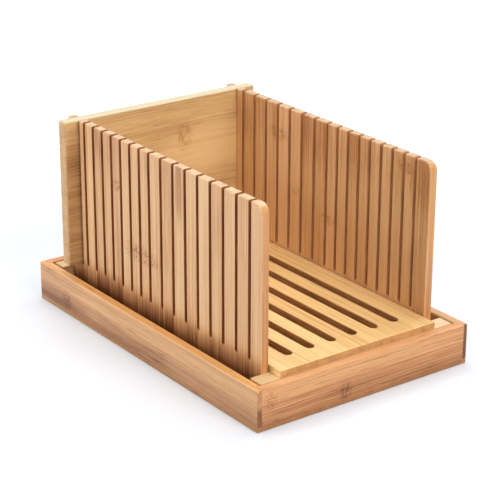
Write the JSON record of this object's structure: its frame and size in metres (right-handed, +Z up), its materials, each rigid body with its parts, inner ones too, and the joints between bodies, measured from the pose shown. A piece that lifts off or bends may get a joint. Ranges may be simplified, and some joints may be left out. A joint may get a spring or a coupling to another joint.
{
  "type": "bread slicer guide",
  "caption": "Bamboo bread slicer with upright kerfed guide panels, a slotted board between them, a lift-out back board and an open crumb tray underneath.",
  "frame": {"origin": "middle of the tray's underside", "axes": "+X across, towards the right guide panel seen from the open front end; +Y along the loaf, from the open front end towards the back board; +Z up"},
  "size_m": [0.225, 0.34, 0.181],
  "materials": {
    "tray_bamboo": "satin oiled bamboo",
    "board_bamboo": "satin oiled bamboo, pale",
    "panel_bamboo": "satin oiled bamboo strips, sawn edges darker",
    "back_board_bamboo": "satin oiled bamboo, long strips",
    "fastener_steel": "zinc plated"
  },
  "bodies": {
    "tray": {"tray_left_wall": "tray_bamboo", "tray_right_wall": "tray_bamboo", "tray_front_wall": "tray_bamboo", "tray_rear_wall": "tray_bamboo", "tray_bottom": "tray_bamboo"},
    "slicer": {"front_crossbar": "board_bamboo", "rear_crossbar": "board_bamboo", "base_board": "board_bamboo", "left_guide_panel": "panel_bamboo", "right_guide_panel": "panel_bamboo", "panel_screws": "fastener_steel"},
    "back_board": {"back_board": "back_board_bamboo"}
  },
  "joints": [
    {"name": "slicer_lift", "type": "slide", "parent": "tray", "child": "slicer", "axis": [0, 0, 1], "range_m": [0, 0.06]},
    {"name": "back_board_lift", "type": "slide", "parent": "slicer", "child": "back_board", "axis": [0, 0, 1], "range_m": [0, 0.16]}
  ]
}
